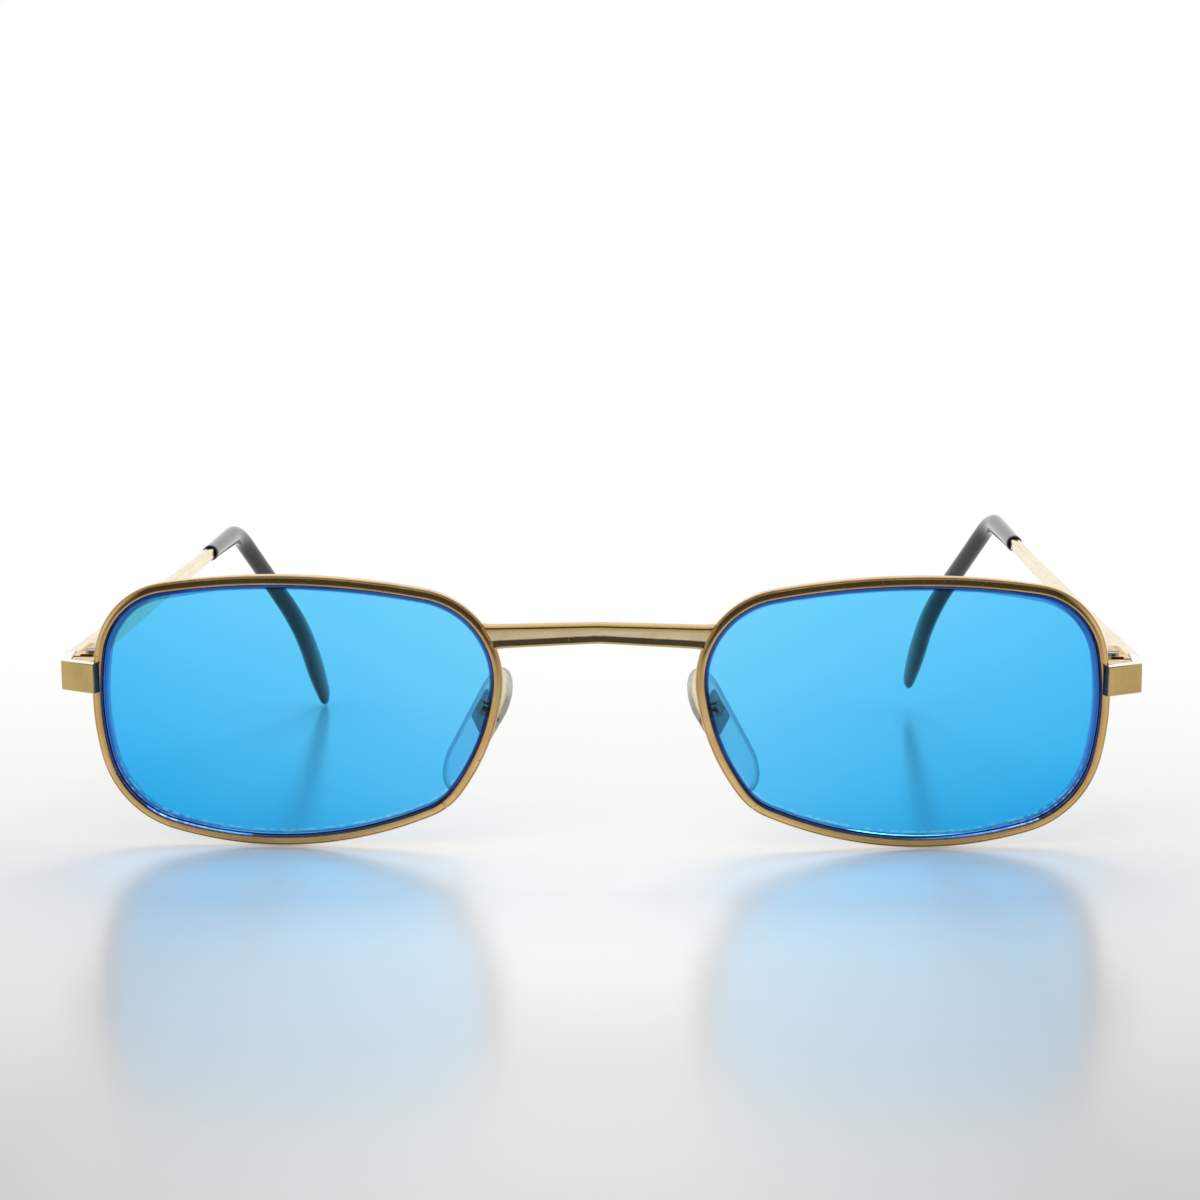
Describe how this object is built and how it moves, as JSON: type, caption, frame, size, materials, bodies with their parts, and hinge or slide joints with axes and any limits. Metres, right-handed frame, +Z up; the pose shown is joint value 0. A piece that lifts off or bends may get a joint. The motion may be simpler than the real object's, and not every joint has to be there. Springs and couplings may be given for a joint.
{
  "type": "sunglasses",
  "caption": "Narrow rectangular metal sunglasses with tinted lenses, a flat grooved bridge bar, rocking nose pads and folding temples with curved plastic tips.",
  "frame": {"origin": "centre of the bounding box's underside, on the surface that the open sunglasses stand on", "axes": "+X to the wearer's left, +Y from the lens fronts back towards the ears, +Z up; the front faces -Y"},
  "size_m": [0.1322, 0.1336, 0.0338],
  "materials": {
    "gold_metal": "satin, slightly worn gold plate over nickel alloy",
    "tinted_lens": "clear azure tint, polished",
    "clear_pad": "clear, slightly yellowed",
    "insert_metal": "plain stamped",
    "black_tip": "glossy black",
    "screw_steel": "plain turned"
  },
  "bodies": {
    "front_frame": {"bridge": "gold_metal", "left_eyewire": "gold_metal", "left_lens": "tinted_lens", "left_end_piece": "gold_metal", "left_closing_block_upper": "gold_metal", "left_closing_block_lower": "gold_metal", "left_closing_screw": "screw_steel", "left_hinge_front_leaf": "gold_metal", "left_hinge_screw": "screw_steel", "left_pad_arm": "gold_metal", "left_pad_screw": "screw_steel", "right_eyewire": "gold_metal", "right_lens": "tinted_lens", "right_end_piece": "gold_metal", "right_closing_block_upper": "gold_metal", "right_closing_block_lower": "gold_metal", "right_closing_screw": "screw_steel", "right_hinge_front_leaf": "gold_metal", "right_hinge_screw": "screw_steel", "right_pad_arm": "gold_metal", "right_pad_screw": "screw_steel"},
    "left_temple_arm": {"left_temple": "gold_metal", "left_temple_tip": "black_tip", "left_hinge_temple_leaf": "gold_metal"},
    "right_temple_arm": {"right_temple": "gold_metal", "right_temple_tip": "black_tip", "right_hinge_temple_leaf": "gold_metal"},
    "left_pad_unit": {"left_nose_pad": "clear_pad", "left_pad_insert": "insert_metal"},
    "right_pad_unit": {"right_nose_pad": "clear_pad", "right_pad_insert": "insert_metal"}
  },
  "joints": [
    {"name": "left_temple_fold", "type": "hinge", "parent": "front_frame", "child": "left_temple_arm", "pos_m": [0.06275, -0.05561, 0.02146], "axis": [0, -0.1063, 0.9943], "range_deg": [0, 84]},
    {"name": "right_temple_fold", "type": "hinge", "parent": "front_frame", "child": "right_temple_arm", "pos_m": [-0.06275, -0.05561, 0.02146], "axis": [0, 0.1063, -0.9943], "range_deg": [0, 80]},
    {"name": "left_pad_rock", "type": "hinge", "parent": "front_frame", "child": "left_pad_unit", "pos_m": [0.01407, -0.05986, 0.01693], "axis": [0.2996, 0.8569, 0.4195], "range_deg": [-8, 8]},
    {"name": "right_pad_rock", "type": "hinge", "parent": "front_frame", "child": "right_pad_unit", "pos_m": [-0.01407, -0.05986, 0.01693], "axis": [0.2996, -0.8569, -0.4195], "range_deg": [-8, 8]}
  ]
}
